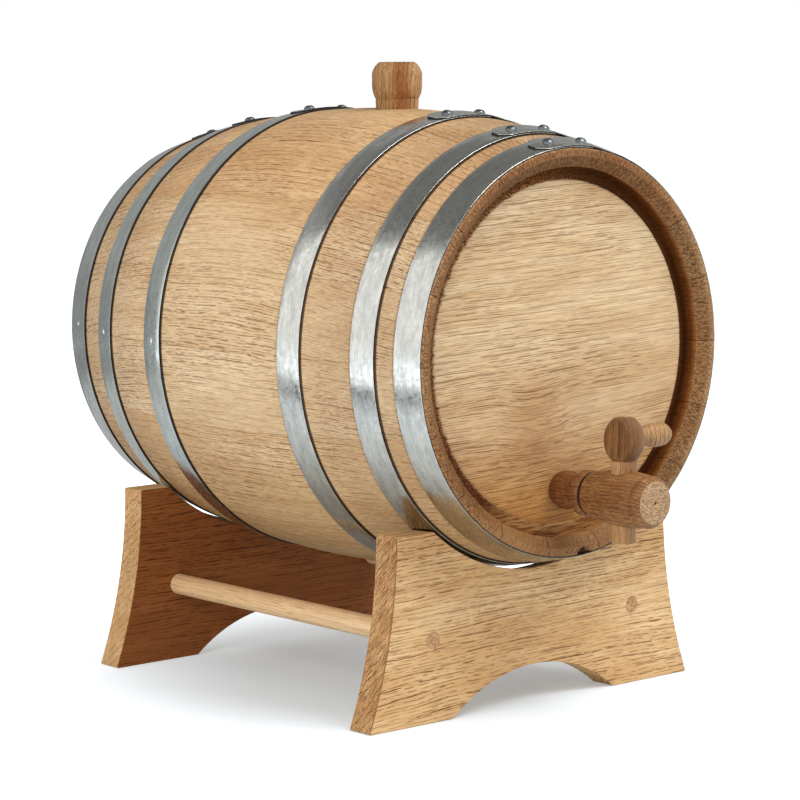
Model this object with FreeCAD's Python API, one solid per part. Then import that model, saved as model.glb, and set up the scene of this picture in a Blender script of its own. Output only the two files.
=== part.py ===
"""Oak cask liquor dispenser: a coopered cask with a turned tap and bung, lying in a two-board stand.

Millimetres, +Z up, the tap faces -Y. The origin is under the middle of the whole object, on the table.
Inside the script the cask runs along Y with its mid-length at y = 0; everything moves by `cask_middle`
along Y when it is written out, which centres the object with its tap on the origin.
"""
import FreeCAD
import Part

import math
import os

from FreeCAD import Vector

# ---- cask shell -------------------------------------------------------------------------------
cask_length = 267.5          # end to end over the staves
bilge_diameter = 222.4       # over the staves at mid-length
chime_diameter = 187.8       # over the staves at their ends
cask_axis_height = 167.5     # above the table, lying in the stand
stave_count = 18
bilge_wall = 13.0            # stave thickness at mid-length
chime_wall = 9.2             # stave thickness at its ends
chime_land = 3.5             # flat end grain left between the outside and the chime bevel
chime_bevel_depth = 4.1      # how far in from the stave end the bevel runs

# ---- heads ------------------------------------------------------------------------------------
head_recess = 8.9            # from the stave ends in to the outer face of a head
head_thickness = 10.0
head_bevel_width = 7.4       # cut all round a head's outer face, down to its tongue
head_bevel_depth = 4.0
head_tongue = 4.5            # width of the rim that stands in the croze groove
croze_depth = 2.8
croze_gap = 0.05             # all round the tongue
head_rim_gap = 0.25          # between a head's face and the staves, outside the croze
middle_board_width = 54.0    # of the middle board of each head
middle_board_rise = 7.0      # how far its middle lies above the cask's axis
head_turn = 5.0              # degrees that the head's boards lie off level
head_pin_diameter = 5.0
head_pin_length = 20.0
head_pin_offset = 40.0       # each pin's distance from the middle of its joint
head_pin_gap = 0.05

# ---- hoops ------------------------------------------------------------------------------------
hoop_thickness = 0.8
hoop_gap = 0.08              # between the strip's inside and the wood at the strip's edges
front_chime_hoop_width = 13.9
rear_chime_hoop_width = 16.9
quarter_hoop_width = 13.1
bilge_hoop_width = 13.9
chime_hoop_set = 0.6         # from the stave ends in to each hoop's outer edge
front_quarter_hoop_set = 25.4
rear_quarter_hoop_set = 34.8
front_bilge_hoop_set = 68.9
rear_bilge_hoop_set = 82.4
rivet_spacing = 21.0
rivet_end = 10.5             # from a rivet to the end of the lap
lap_corner = 4.5             # cut off each corner of the lap's end
lap_ramp = 9.0               # length over which the lap comes down to the strip
rivet_shank_diameter = 3.0
rivet_head_diameter = 5.4
rivet_head_height = 2.2
rivet_head_edge = 0.6        # height of the rivet head's upright rim
rivet_head_flat = 1.2        # radius of the hammered flat on top
rivet_gap = 0.02
rivet_tail_gap = 0.1         # the tail stops short of the strip's inside

# ---- bung -------------------------------------------------------------------------------------
bung_ahead = 10.2            # the bunghole lies this far in front of mid-length
bung_top_height = 22.3       # above the top of the staves
bung_cap_radius = 8.8        # flat on top
bung_shoulder_radius = 10.9
bung_shoulder_drop = 2.3
bung_belly_radius = 12.25
bung_belly_top = 5.0         # below the top
bung_belly_bottom = 12.0
bung_neck_radius = 10.6
bung_neck_drop = 18.0
bung_line_depth = 0.3        # turned line at the top of the neck
bung_shank_end_radius = 9.2
bung_shank_depth = 22.0      # below the top of the staves
bung_edge = 0.8              # bevel on the shank's lower end
bung_fit = 0.06

# ---- tap --------------------------------------------------------------------------------------
tap_drop = 63.8              # tap axis below the cask's axis
tap_shank_length = 30.0      # behind the head's outer face
tap_shank_end_radius = 6.6
tap_shank_radius = 7.9       # where it enters the head
tap_shank_edge = 0.6
tap_shank_fit = 0.02
tap_bore_diameter = 8.0
tap_collar_radius = 8.9
tap_collar_start = 2.2       # distances along the tap from the head's outer face
tap_collar_end = 6.1
tap_waist_radius = 7.9
tap_waist_end = 14.2
tap_bead_radius = 10.7
tap_bead_start = 15.2
tap_bead_end = 20.4
tap_groove_radius = 9.7
tap_groove_end = 22.2
tap_barrel_start_radius = 10.9
tap_barrel_radius = 12.8
tap_barrel_middle = 38.6
tap_barrel_end_radius = 12.3
tap_barrel_end = 53.2
tap_ring_groove_radius = 11.5
tap_ring_groove_end = 55.8
tap_ring_radius = 12.0
tap_ring_end = 57.8
tap_nose_radius = 9.5
tap_length = 60.8
tap_centre_diameter = 1.4    # lathe centre left in the nose
tap_centre_depth = 1.6

# ---- tap key ----------------------------------------------------------------------------------
key_place = 40.6             # key axis, from the head's outer face
key_top_radius = 5.95        # of the tapered plug, at the top of the tap
key_taper = 0.012            # radius lost per millimetre going down
key_fit = 0.05               # running clearance, square to the plug
key_below = 7.4              # the plug shows under the tap by this much
key_neck = 5.0               # between the tap's top and the knob
key_neck_groove = 0.35
key_knob_height = 19.2
key_knob_radius = 9.45
key_knob_widest = 9.6        # above the knob's underside
key_knob_flat_radius = 4.6
key_knob_flat_bevel = 0.7
key_face_offset = 6.0        # flat cut on the knob, from the key's axis
key_bore_diameter = 7.0
key_bore_roof = 4.6          # the bore ends this far above the tap's axis
handle_tenon_radius = 3.6
handle_tenon_depth = 5.6     # into the knob
handle_fit = 0.03
handle_neck_radius = 4.1
handle_neck_reach = 11.6     # distances from the key's axis
handle_swell_radius = 5.6
handle_swell_reach = 17.4
handle_end_radius = 5.1
handle_end_reach = 25.6
handle_tip_radius = 2.4
handle_reach = 29.1

# ---- stand ------------------------------------------------------------------------------------
board_thickness = 14.4
stand_inset = 29.25          # from an end of the cask in to the board under it, when centred
stand_ahead = 3.4            # the stand's middle lies this far in front of the cask's
horn_drop = 79.2             # from the cask's axis down to the tops of the horns
foot_inset = 7.9             # the feet, waist and horns stand this far inside the bilge's width
waist_inset = 20.2
horn_inset = 24.6
waist_height = 42.5
arch_half_width = 52.3
arch_height = 18.5
saddle_pinch = 3.3           # the saddle's radius is this much less than the cask's there
saddle_slack = 0.5           # the saddle opens this much wider at a board's outer face
seat_gap = 0.35              # where the cask lies on the horns
board_corner = 0.8           # radius on the outline's outward corners
board_edge = 0.3             # bevel round both faces of a board
dowel_radius = 5.2
dowel_tenon_radius = 4.1
dowel_shoulder_round = 1.0
dowel_offset = 64.7
dowel_height = 38.4
dowel_fit = 0.04

# ---- worked out from the sizes above ------------------------------------------------------------
half_length = cask_length / 2
bilge_radius = bilge_diameter / 2
chime_radius = chime_diameter / 2
head_face = half_length - head_recess
head_upper_joint = middle_board_rise + middle_board_width / 2
head_lower_joint = middle_board_rise - middle_board_width / 2
tap_height = cask_axis_height - tap_drop
stand_length = cask_length - 2 * stand_inset
stand_height = cask_axis_height - horn_drop
foot_half_width = bilge_radius - foot_inset
waist_half_width = bilge_radius - waist_inset
horn_half_width = bilge_radius - horn_inset
cask_middle = (tap_length - head_recess) / 2
stave_turn = 360.0 / stave_count
along = Vector(0, 1, 0)
upward = Vector(0, 0, 1)
centre = Vector(0, 0, cask_axis_height)


def bend_radius(middle, end):
    """Radius of the arc that passes `middle` at mid-length and `end` at both stave ends."""
    rise = middle - end
    return (half_length ** 2 + rise ** 2) / (2 * rise)


def outside(place):
    """Radius of the staves' outside at a distance from mid-length."""
    bend = bend_radius(bilge_radius, chime_radius)
    return bilge_radius - bend + math.sqrt(bend ** 2 - place ** 2)


def inside(place):
    """Radius of the staves' inside at a distance from mid-length."""
    middle = bilge_radius - bilge_wall
    bend = bend_radius(middle, chime_radius - chime_wall)
    return middle - bend + math.sqrt(bend ** 2 - place ** 2)


def outline(start, *moves):
    """Closed face. A move is a point for a straight line, or (middle, end) for an arc."""
    edges = []
    here = start
    for move in moves:
        if isinstance(move, tuple):
            middle, there = move
            edges.append(Part.Arc(here, middle, there).toShape())
        else:
            there = move
            edges.append(Part.makeLine(here, there))
        here = there
    if not here.isEqual(start, 1e-7):
        edges.append(Part.makeLine(here, start))
    return Part.Face(Part.Wire(edges))


def on_cask(place, radius):
    """Point above the cask's axis, in the plane that cuts the cask in half."""
    return Vector(0, place, cask_axis_height + radius)


def box_between(low, high):
    return Part.makeBox(high.x - low.x, high.y - low.y, high.z - low.z, low)


def cone(base, radius, top_radius, length, direction):
    """Round bar from base, of one radius or tapering to another."""
    if radius == top_radius:
        return Part.makeCylinder(radius, length, base, direction)
    return Part.makeCone(radius, top_radius, length, base, direction)


parts = {}

# ---- bung and bunghole --------------------------------------------------------------------------
bung_place = Vector(0, -bung_ahead, 0)
stave_top = cask_axis_height + bilge_radius
bung_top = stave_top + bung_top_height
bung_neck = bung_top - bung_neck_drop
bung_foot = stave_top - bung_shank_depth
bung_taper = (bung_neck_radius - bung_shank_end_radius) / (bung_neck - bung_foot)


def bung_radius(height):
    return bung_shank_end_radius + bung_taper * (height - bung_foot)


def bung_point(radius, height):
    return bung_place + Vector(radius, 0, height)


line_half = bung_line_depth
bung_face = outline(
    bung_point(0, bung_foot),
    bung_point(bung_shank_end_radius - bung_edge, bung_foot),
    bung_point(bung_radius(bung_foot + bung_edge), bung_foot + bung_edge),
    bung_point(bung_radius(bung_neck - line_half), bung_neck - line_half),
    bung_point(bung_neck_radius - bung_line_depth, bung_neck),
    bung_point(bung_neck_radius, bung_neck + line_half),
    (bung_point((bung_neck_radius + bung_belly_radius) / 2 + bung_line_depth,
                (bung_neck + bung_top - bung_belly_bottom) / 2),
     bung_point(bung_belly_radius, bung_top - bung_belly_bottom)),
    bung_point(bung_belly_radius, bung_top - bung_belly_top),
    bung_point(bung_shoulder_radius, bung_top - bung_shoulder_drop),
    bung_point(bung_cap_radius, bung_top),
    bung_point(0, bung_top))
parts["bung"] = bung_face.revolve(bung_place, upward, 360)

hole_low = bung_foot - bung_shank_depth
hole_high = bung_top
bunghole = cone(bung_point(0, hole_low), bung_radius(hole_low) + bung_fit,
                bung_radius(hole_high) + bung_fit, hole_high - hole_low, upward)

# ---- staves -------------------------------------------------------------------------------------
croze_outer = half_length - head_recess - head_bevel_depth + croze_gap
croze_inner = croze_outer - head_tongue - 2 * croze_gap
head_tongue_radius = inside(croze_outer) + croze_depth
croze_bottom = head_tongue_radius + croze_gap
bevel_inner = half_length - chime_bevel_depth


def stave_half(sign):
    """The inside of a stave from its end to the croze, as points from the end inwards."""
    return [
        on_cask(sign * half_length, chime_radius - chime_land),
        on_cask(sign * bevel_inner, inside(bevel_inner)),
        on_cask(sign * croze_outer, inside(croze_outer)),
        on_cask(sign * croze_outer, croze_bottom),
        on_cask(sign * croze_inner, croze_bottom),
        on_cask(sign * croze_inner, inside(croze_inner))]


front_end = stave_half(-1)
rear_end = stave_half(1)
stave_face = outline(
    on_cask(-half_length, chime_radius),
    (on_cask(0, bilge_radius), on_cask(half_length, chime_radius)),
    *rear_end,
    (on_cask(0, inside(0)), front_end[-1]),
    *reversed(front_end[:-1]))
stave_face.rotate(centre, along, -stave_turn / 2)
stave = stave_face.revolve(centre, along, stave_turn)

parts["bung_stave"] = stave.cut(bunghole)
for number in range(2, stave_count + 1):
    turned = stave.copy()
    turned.rotate(centre, along, (number - 1) * stave_turn)
    parts["stave_%02d" % number] = turned

# ---- heads --------------------------------------------------------------------------------------
tongue_outer = croze_outer - croze_gap
tongue_inner = croze_inner + croze_gap
head_inner_face = head_face - head_thickness
head_radius = inside(head_face) - head_rim_gap
front_head = outline(
    on_cask(-head_face, 0),
    on_cask(-head_face, head_radius - head_bevel_width),
    on_cask(-tongue_outer, head_radius),
    on_cask(-tongue_outer, head_tongue_radius),
    on_cask(-tongue_inner, head_tongue_radius),
    on_cask(-tongue_inner, head_radius),
    on_cask(-head_inner_face, head_radius),
    on_cask(-head_inner_face, 0)).revolve(centre, along, 360)
rear_head = front_head.mirror(Vector(0, 0, 0), along)

tap_axis = Vector(0, 0, tap_height)


def on_tap(reach, radius=0.0):
    """Point over the tap's axis, at a distance in front of the head's outer face."""
    return Vector(0, -head_face - reach, tap_height + radius)


shank_taper = (tap_shank_radius - tap_shank_end_radius) / tap_shank_length
taphole = cone(on_tap(-tap_shank_length), tap_shank_end_radius + tap_shank_fit,
               tap_shank_radius + shank_taper * head_recess + tap_shank_fit,
               tap_shank_length + head_recess, -along)

head_pins = []
board_spans = {
    "top": (head_upper_joint, bilge_radius),
    "middle": (head_lower_joint, head_upper_joint),
    "bottom": (-bilge_radius, head_lower_joint)}
for end, head, sign in (("front", front_head, -1), ("rear", rear_head, 1)):
    pin_depth = sign * (head_face - head_thickness / 2)
    holes = []
    for joint in (head_upper_joint, head_lower_joint):
        for side in (-head_pin_offset, head_pin_offset):
            foot = Vector(side, pin_depth, cask_axis_height + joint - head_pin_length / 2)
            head_pins.append(Part.makeCylinder(head_pin_diameter / 2, head_pin_length, foot, upward))
            hole_foot = foot - upward * head_pin_gap
            holes.append(Part.makeCylinder(head_pin_diameter / 2 + head_pin_gap,
                                           head_pin_length + 2 * head_pin_gap, hole_foot, upward))
            head_pins[-1].rotate(centre, along, -head_turn)
    for name, (low, high) in board_spans.items():
        board = box_between(Vector(-bilge_radius, -cask_length, cask_axis_height + low),
                            Vector(bilge_radius, cask_length, cask_axis_height + high))
        for hole in holes:
            board = board.cut(hole)
        board.rotate(centre, along, -head_turn)
        board = head.common(board)
        if end == "front":
            board = board.cut(taphole)
        parts["%s_head_%s_board" % (end, name)] = board
parts["head_pins"] = Part.makeCompound(head_pins)

# ---- hoops and rivets -----------------------------------------------------------------------------
rivets = []


def hoop(inner_edge, outer_edge, sign):
    """Riveted strip driven on from one end. Edges are distances from mid-length."""
    small = outside(outer_edge) + hoop_gap
    large = outside(inner_edge) + hoop_gap
    slope = math.atan2(large - small, outer_edge - inner_edge)

    def strip_point(place, lift):
        radius = small + (outer_edge - place) * math.tan(slope)
        shift = lift * math.sin(slope)
        return on_cask(sign * (place + shift), radius + lift * math.cos(slope))

    def strip(low, high, turn):
        face = outline(strip_point(inner_edge, low), strip_point(outer_edge, low),
                       strip_point(outer_edge, high), strip_point(inner_edge, high))
        return face.revolve(centre, along, turn)

    ring = strip(0, hoop_thickness, 360)

    # the lap: a second thickness over the top, with a cut end to -X and a ramp down to +X
    middle = (inner_edge + outer_edge) / 2
    top = small + (outer_edge - middle) * math.tan(slope) + 2 * hoop_thickness
    reach = rivet_spacing / 2 + rivet_end
    turn_of = 180 / math.pi / top
    lap = strip(hoop_thickness, 2 * hoop_thickness, 2 * reach * turn_of)
    lap.rotate(centre, along, -reach * turn_of)
    cut_line = math.sin(reach / top) * top
    for edge, inward in ((inner_edge, 1), (outer_edge, -1)):
        level = cask_axis_height + chime_radius / 2
        corner = [Vector(-cut_line - lap_corner, sign * (edge - inward * lap_corner), level),
                  Vector(-cut_line + lap_corner, sign * (edge - inward * lap_corner), level),
                  Vector(-cut_line + lap_corner, sign * edge, level),
                  Vector(-cut_line, sign * (edge + inward * lap_corner), level),
                  Vector(-cut_line - lap_corner, sign * (edge + inward * lap_corner), level)]
        wedge = Part.Face(Part.makePolygon(corner + corner[:1])).extrude(upward * bilge_radius)
        lap = lap.cut(wedge)
    ramp_turn = (reach - lap_ramp / 2) / top
    ramp = Part.makeBox(lap_ramp * 2, cask_length, lap_ramp,
                        Vector(-lap_ramp, -half_length, 0))
    ramp.rotate(Vector(0, 0, 0), along, math.degrees(math.atan2(hoop_thickness, lap_ramp)))
    ramp.translate(Vector(0, sign * middle, cask_axis_height + top - hoop_thickness / 2))
    ramp.rotate(centre, along, math.degrees(ramp_turn))
    lap = lap.cut(ramp)
    body = ring.fuse(lap)

    # two rivets through the lap, square to the strip
    for side in (-rivet_spacing / 2, rivet_spacing / 2):
        seat = strip_point(middle, 2 * hoop_thickness)
        out = Vector(0, sign * math.sin(slope), math.cos(slope))
        across = Vector(1, 0, 0)
        tail = 2 * hoop_thickness - rivet_tail_gap
        hole = Part.makeCylinder(rivet_shank_diameter / 2 + rivet_gap, 2 * hoop_thickness * 2,
                                 seat - out * (3 * hoop_thickness), out)
        rim = rivet_head_diameter / 2
        dome_middle = seat + across * ((rim + rivet_head_flat) / 2 * 1.12) \
            + out * ((rivet_head_edge + rivet_head_height) / 2 * 1.12)
        face = outline(
            seat - out * tail,
            seat - out * tail + across * (rivet_shank_diameter / 2),
            seat + across * (rivet_shank_diameter / 2),
            seat + across * rim,
            seat + across * rim + out * rivet_head_edge,
            (dome_middle, seat + across * rivet_head_flat + out * rivet_head_height),
            seat + out * rivet_head_height)
        rivet = face.revolve(seat, out, 360)
        for piece in (hole, rivet):
            piece.rotate(centre, along, side * turn_of)
        body = body.cut(hole)
        rivets.append(rivet)
    return body.removeSplitter()


hoops = (
    ("front_chime", -1, chime_hoop_set, front_chime_hoop_width),
    ("front_quarter", -1, front_quarter_hoop_set, quarter_hoop_width),
    ("front_bilge", -1, front_bilge_hoop_set, bilge_hoop_width),
    ("rear_bilge", 1, rear_bilge_hoop_set, bilge_hoop_width),
    ("rear_quarter", 1, rear_quarter_hoop_set, quarter_hoop_width),
    ("rear_chime", 1, chime_hoop_set, rear_chime_hoop_width))
for name, sign, back, width in hoops:
    outer_edge = half_length - back
    parts[name + "_hoop"] = hoop(outer_edge - width, outer_edge, sign)
parts["hoop_rivets"] = Part.makeCompound(rivets)

# ---- tap ----------------------------------------------------------------------------------------
key_height = tap_height + tap_barrel_radius
key_foot = tap_height - tap_barrel_radius - key_below
key_axis = Vector(0, -head_face - key_place, 0)


def key_radius(height):
    """Radius of the tapered plug at a height."""
    return key_top_radius - key_taper * (key_height - height)


tap_face = outline(
    on_tap(-tap_shank_length),
    on_tap(-tap_shank_length, tap_shank_end_radius - tap_shank_edge),
    on_tap(tap_shank_edge - tap_shank_length, tap_shank_end_radius + shank_taper * tap_shank_edge),
    on_tap(0, tap_shank_radius),
    on_tap(tap_collar_start, tap_collar_radius),
    on_tap(tap_collar_end, tap_collar_radius),
    on_tap((tap_collar_end + tap_waist_end) / 2, tap_waist_radius),
    on_tap(tap_waist_end, tap_waist_radius),
    on_tap(tap_bead_start, tap_bead_radius),
    on_tap(tap_bead_end, tap_bead_radius),
    on_tap((tap_bead_end + tap_groove_end) / 2, tap_groove_radius),
    on_tap(tap_groove_end, tap_barrel_start_radius),
    (on_tap(tap_barrel_middle, tap_barrel_radius), on_tap(tap_barrel_end, tap_barrel_end_radius)),
    on_tap((tap_barrel_end + tap_ring_groove_end) / 2, tap_ring_groove_radius),
    on_tap(tap_ring_groove_end, tap_ring_radius),
    on_tap(tap_ring_end, tap_ring_radius),
    on_tap(tap_length, tap_nose_radius),
    on_tap(tap_length, tap_centre_diameter / 2),
    on_tap(tap_length - tap_centre_depth))
tap_body = tap_face.revolve(tap_axis, along, 360)
tap_bore = Part.makeCylinder(tap_bore_diameter / 2, tap_shank_length + key_place,
                             on_tap(-tap_shank_length), -along)
key_hole_high = key_height + tap_barrel_radius
key_hole_low = key_foot - tap_barrel_radius
key_hole = cone(key_axis + upward * key_hole_low, key_radius(key_hole_low) + key_fit,
                key_radius(key_hole_high) + key_fit, key_hole_high - key_hole_low, upward)
parts["tap_body"] = tap_body.cut(tap_bore).cut(key_hole)

# ---- tap key and handle ---------------------------------------------------------------------------
knob_foot = key_height + key_neck
knob_top = knob_foot + key_knob_height
knob_seat_radius = key_radius(knob_foot)


def key_point(radius, height):
    return key_axis + Vector(radius, 0, height)


key_face = outline(
    key_point(0, key_foot),
    key_point(key_radius(key_foot), key_foot),
    key_point(key_radius(knob_foot - 2 * key_neck_groove), knob_foot - 2 * key_neck_groove),
    key_point(knob_seat_radius - key_neck_groove, knob_foot - key_neck_groove),
    key_point(knob_seat_radius, knob_foot),
    (key_point(key_knob_radius, knob_foot + key_knob_widest),
     key_point(key_knob_flat_radius + key_knob_flat_bevel, knob_top - key_knob_flat_bevel)),
    key_point(key_knob_flat_radius, knob_top),
    key_point(0, knob_top))
key = key_face.revolve(key_axis, upward, 360)
flat_side = box_between(key_point(-2 * key_knob_radius, knob_foot) - Vector(0, key_knob_radius, 0),
                        key_point(-key_face_offset, knob_top) + Vector(0, key_knob_radius, 0))
key_bore = Part.makeCylinder(key_bore_diameter / 2, tap_height + key_bore_roof - key_foot,
                             key_point(0, key_foot), upward)
key_port = Part.makeCylinder(key_bore_diameter / 2, 2 * key_top_radius,
                             key_point(0, tap_height), Vector(-1, 0, 0))
handle_height = knob_foot + key_knob_widest
handle_seat = key_knob_radius - handle_tenon_depth
tenon_hole = Part.makeCylinder(handle_tenon_radius + handle_fit, 2 * key_knob_radius,
                               key_point(handle_seat, handle_height), Vector(1, 0, 0))
parts["tap_key"] = key.cut(flat_side).cut(key_bore).cut(key_port).cut(tenon_hole)


def handle_point(reach, radius):
    return key_point(reach, handle_height + radius)


handle_shoulder = key_knob_radius + handle_fit
handle_face = outline(
    handle_point(handle_seat + handle_fit, 0),
    handle_point(handle_seat + handle_fit, handle_tenon_radius),
    handle_point(handle_shoulder, handle_tenon_radius),
    handle_point(handle_shoulder, handle_neck_radius),
    handle_point(handle_neck_reach, handle_neck_radius),
    handle_point(handle_swell_reach, handle_swell_radius),
    (handle_point((handle_swell_reach + handle_end_reach) / 2,
                  (handle_swell_radius + handle_end_radius) / 2 + handle_fit),
     handle_point(handle_end_reach, handle_end_radius)),
    handle_point(handle_reach, handle_tip_radius),
    handle_point(handle_reach, 0))
parts["tap_key_handle"] = handle_face.revolve(handle_point(0, 0), Vector(1, 0, 0), 360)

# ---- stand --------------------------------------------------------------------------------------
tenon_reach = stand_length / 2
shoulder_reach = tenon_reach - board_thickness
flat_join, round_join = 2, 0


def stand_board(outer_face, hoop_set):
    """One board, its outer face at y = 0. The saddle follows the slope of the hoop that lies in it."""
    hoop_outer = half_length - hoop_set
    hoop_inner = hoop_outer - quarter_hoop_width
    slope = (outside(hoop_inner) - outside(hoop_outer)) / quarter_hoop_width
    seat_outer = outside(hoop_outer) + hoop_gap + hoop_thickness + slope * (hoop_outer - outer_face)
    seat_inner = seat_outer + slope * board_thickness
    saddle_middle = stand_height + horn_drop - (seat_gap + saddle_pinch) * seat_inner / horn_drop
    face = outline(
        Vector(-foot_half_width, 0, 0),
        Vector(-arch_half_width, 0, 0),
        (Vector(0, 0, arch_height), Vector(arch_half_width, 0, 0)),
        Vector(foot_half_width, 0, 0),
        (Vector(waist_half_width, 0, waist_height), Vector(horn_half_width, 0, stand_height)),
        Vector(-horn_half_width, 0, stand_height),
        (Vector(-waist_half_width, 0, waist_height), Vector(-foot_half_width, 0, 0)))
    face = face.makeOffset2D(-board_corner, flat_join).makeOffset2D(board_corner, round_join)
    saddle = cone(Vector(0, 0, saddle_middle), seat_outer - saddle_pinch + saddle_slack,
                  seat_inner - saddle_pinch, board_thickness, along)
    board = face.extrude(along * board_thickness).cut(saddle)
    rim = [edge for side in board.Faces if side.Surface.isPlanar() and abs(side.normalAt(0, 0).y) > 0.5
           for edge in side.OuterWire.Edges]
    board = board.makeChamfer(board_edge, rim)
    for across in (-dowel_offset, dowel_offset):
        foot = Vector(across, -board_thickness, dowel_height)
        board = board.cut(Part.makeCylinder(dowel_tenon_radius + dowel_fit, 3 * board_thickness,
                                            foot, along))
    return board


front_face = stand_ahead + tenon_reach
rear_face = tenon_reach - stand_ahead
front_board = stand_board(front_face, front_quarter_hoop_set)
front_board.translate(Vector(0, -front_face, 0))
rear_board = stand_board(rear_face, rear_quarter_hoop_set).mirror(Vector(0, 0, 0), along)
rear_board.translate(Vector(0, rear_face, 0))
parts["front_stand_board"] = front_board
parts["rear_stand_board"] = rear_board

for end, across in (("left", -dowel_offset), ("right", dowel_offset)):
    dowel_axis = Vector(across, -stand_ahead, dowel_height)

    def on_dowel(place, radius):
        return dowel_axis + Vector(0, place, radius)

    bend = dowel_shoulder_round * (1 - math.sqrt(0.5))
    dowel_face = outline(
        on_dowel(-tenon_reach, 0),
        on_dowel(-tenon_reach, dowel_tenon_radius),
        on_dowel(-shoulder_reach, dowel_tenon_radius),
        on_dowel(-shoulder_reach, dowel_radius - dowel_shoulder_round),
        (on_dowel(bend - shoulder_reach, dowel_radius - bend),
         on_dowel(dowel_shoulder_round - shoulder_reach, dowel_radius)),
        on_dowel(shoulder_reach - dowel_shoulder_round, dowel_radius),
        (on_dowel(shoulder_reach - bend, dowel_radius - bend),
         on_dowel(shoulder_reach, dowel_radius - dowel_shoulder_round)),
        on_dowel(shoulder_reach, dowel_tenon_radius),
        on_dowel(tenon_reach, dowel_tenon_radius),
        on_dowel(tenon_reach, 0))
    parts["%s_stand_dowel" % end] = dowel_face.revolve(dowel_axis, along, 360)

# ---- write --------------------------------------------------------------------------------------
os.makedirs("parts", exist_ok=True)
for name, shape in parts.items():
    shape = shape.copy()
    shape.translate(Vector(0, cask_middle, 0))
    shape.exportStep("parts/%s.step" % name)
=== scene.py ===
import math

import bmesh
import bpy
from mathutils import Matrix, Vector, noise


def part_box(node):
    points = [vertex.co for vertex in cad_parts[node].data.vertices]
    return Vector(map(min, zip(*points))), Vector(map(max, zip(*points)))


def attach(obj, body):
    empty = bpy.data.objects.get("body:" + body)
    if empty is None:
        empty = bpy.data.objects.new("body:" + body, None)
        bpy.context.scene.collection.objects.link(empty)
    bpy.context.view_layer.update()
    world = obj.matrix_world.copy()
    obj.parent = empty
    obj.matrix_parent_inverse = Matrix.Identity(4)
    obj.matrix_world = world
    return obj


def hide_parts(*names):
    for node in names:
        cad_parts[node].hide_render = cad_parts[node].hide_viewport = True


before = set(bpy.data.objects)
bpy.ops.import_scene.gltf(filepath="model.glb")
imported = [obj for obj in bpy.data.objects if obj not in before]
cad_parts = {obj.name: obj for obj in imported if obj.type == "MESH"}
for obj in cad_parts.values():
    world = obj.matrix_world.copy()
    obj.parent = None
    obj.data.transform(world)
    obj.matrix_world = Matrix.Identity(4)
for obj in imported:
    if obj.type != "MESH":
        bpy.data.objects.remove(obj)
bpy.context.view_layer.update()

# ---- STAVES -------------------------------------------------------------------------------------
# Eighteen bent oak staves make the shell. Each is sawn along the grain, jointed to its neighbours
# without glue and held by the hoops alone. The one on top is bored for the bung.

# sizes of pieces are in millimetres, and `shell` and `change` turn them into metres
CASK_MIDDLE = 25.95
CASK_HEIGHT = 167.5
HALF_LENGTH = 133.75
BILGE_RADIUS = 111.2
CHIME_RADIUS = 93.9
BILGE_WALL = 13.0
CHIME_WALL = 9.2
CHIME_LAND = 3.5
CHIME_BEVEL = 4.1
BEVEL_FOOT = HALF_LENGTH - CHIME_BEVEL
HEAD_FACE = 124.85
CROZE_OUTER = 120.9
CROZE_INNER = 116.3
CROZE_DEPTH = 2.85
STAVE_COUNT = 18
STAVE_TURN = 2 * math.pi / STAVE_COUNT
STAVE_ARRIS = 0.35
MEAN_RADIUS = 105.0
SAW_MARKS = 0.22
CROZE_IRON_MARKS = 0.05
CUTS_ALONG = 30
CUTS_ACROSS = 18
CUTS_INSIDE = 8
CREASE = 35
CHIP_TURN = math.radians(175.7)
CHIP_HALF = math.radians(2.9)
# how far the chip goes back and in, at the arris, at the rim and at three places across the land
CHIP = ((3.2, 0.4), (3.0, 0.5), (2.4, 0.0), (1.4, 0.0), (0.0, 0.0))
CHIP_SHADE_PLACE = (6.9, -106.8, 74.6)


def dye(red, green, blue):
    """Linear colour of a tint given as it looks, each part from 0 to 255."""
    return tuple(c / 255 / 12.92 if c < 10 else ((c / 255 + 0.055) / 1.055) ** 2.4
                 for c in (red, green, blue)) + (1.0,)


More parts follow.
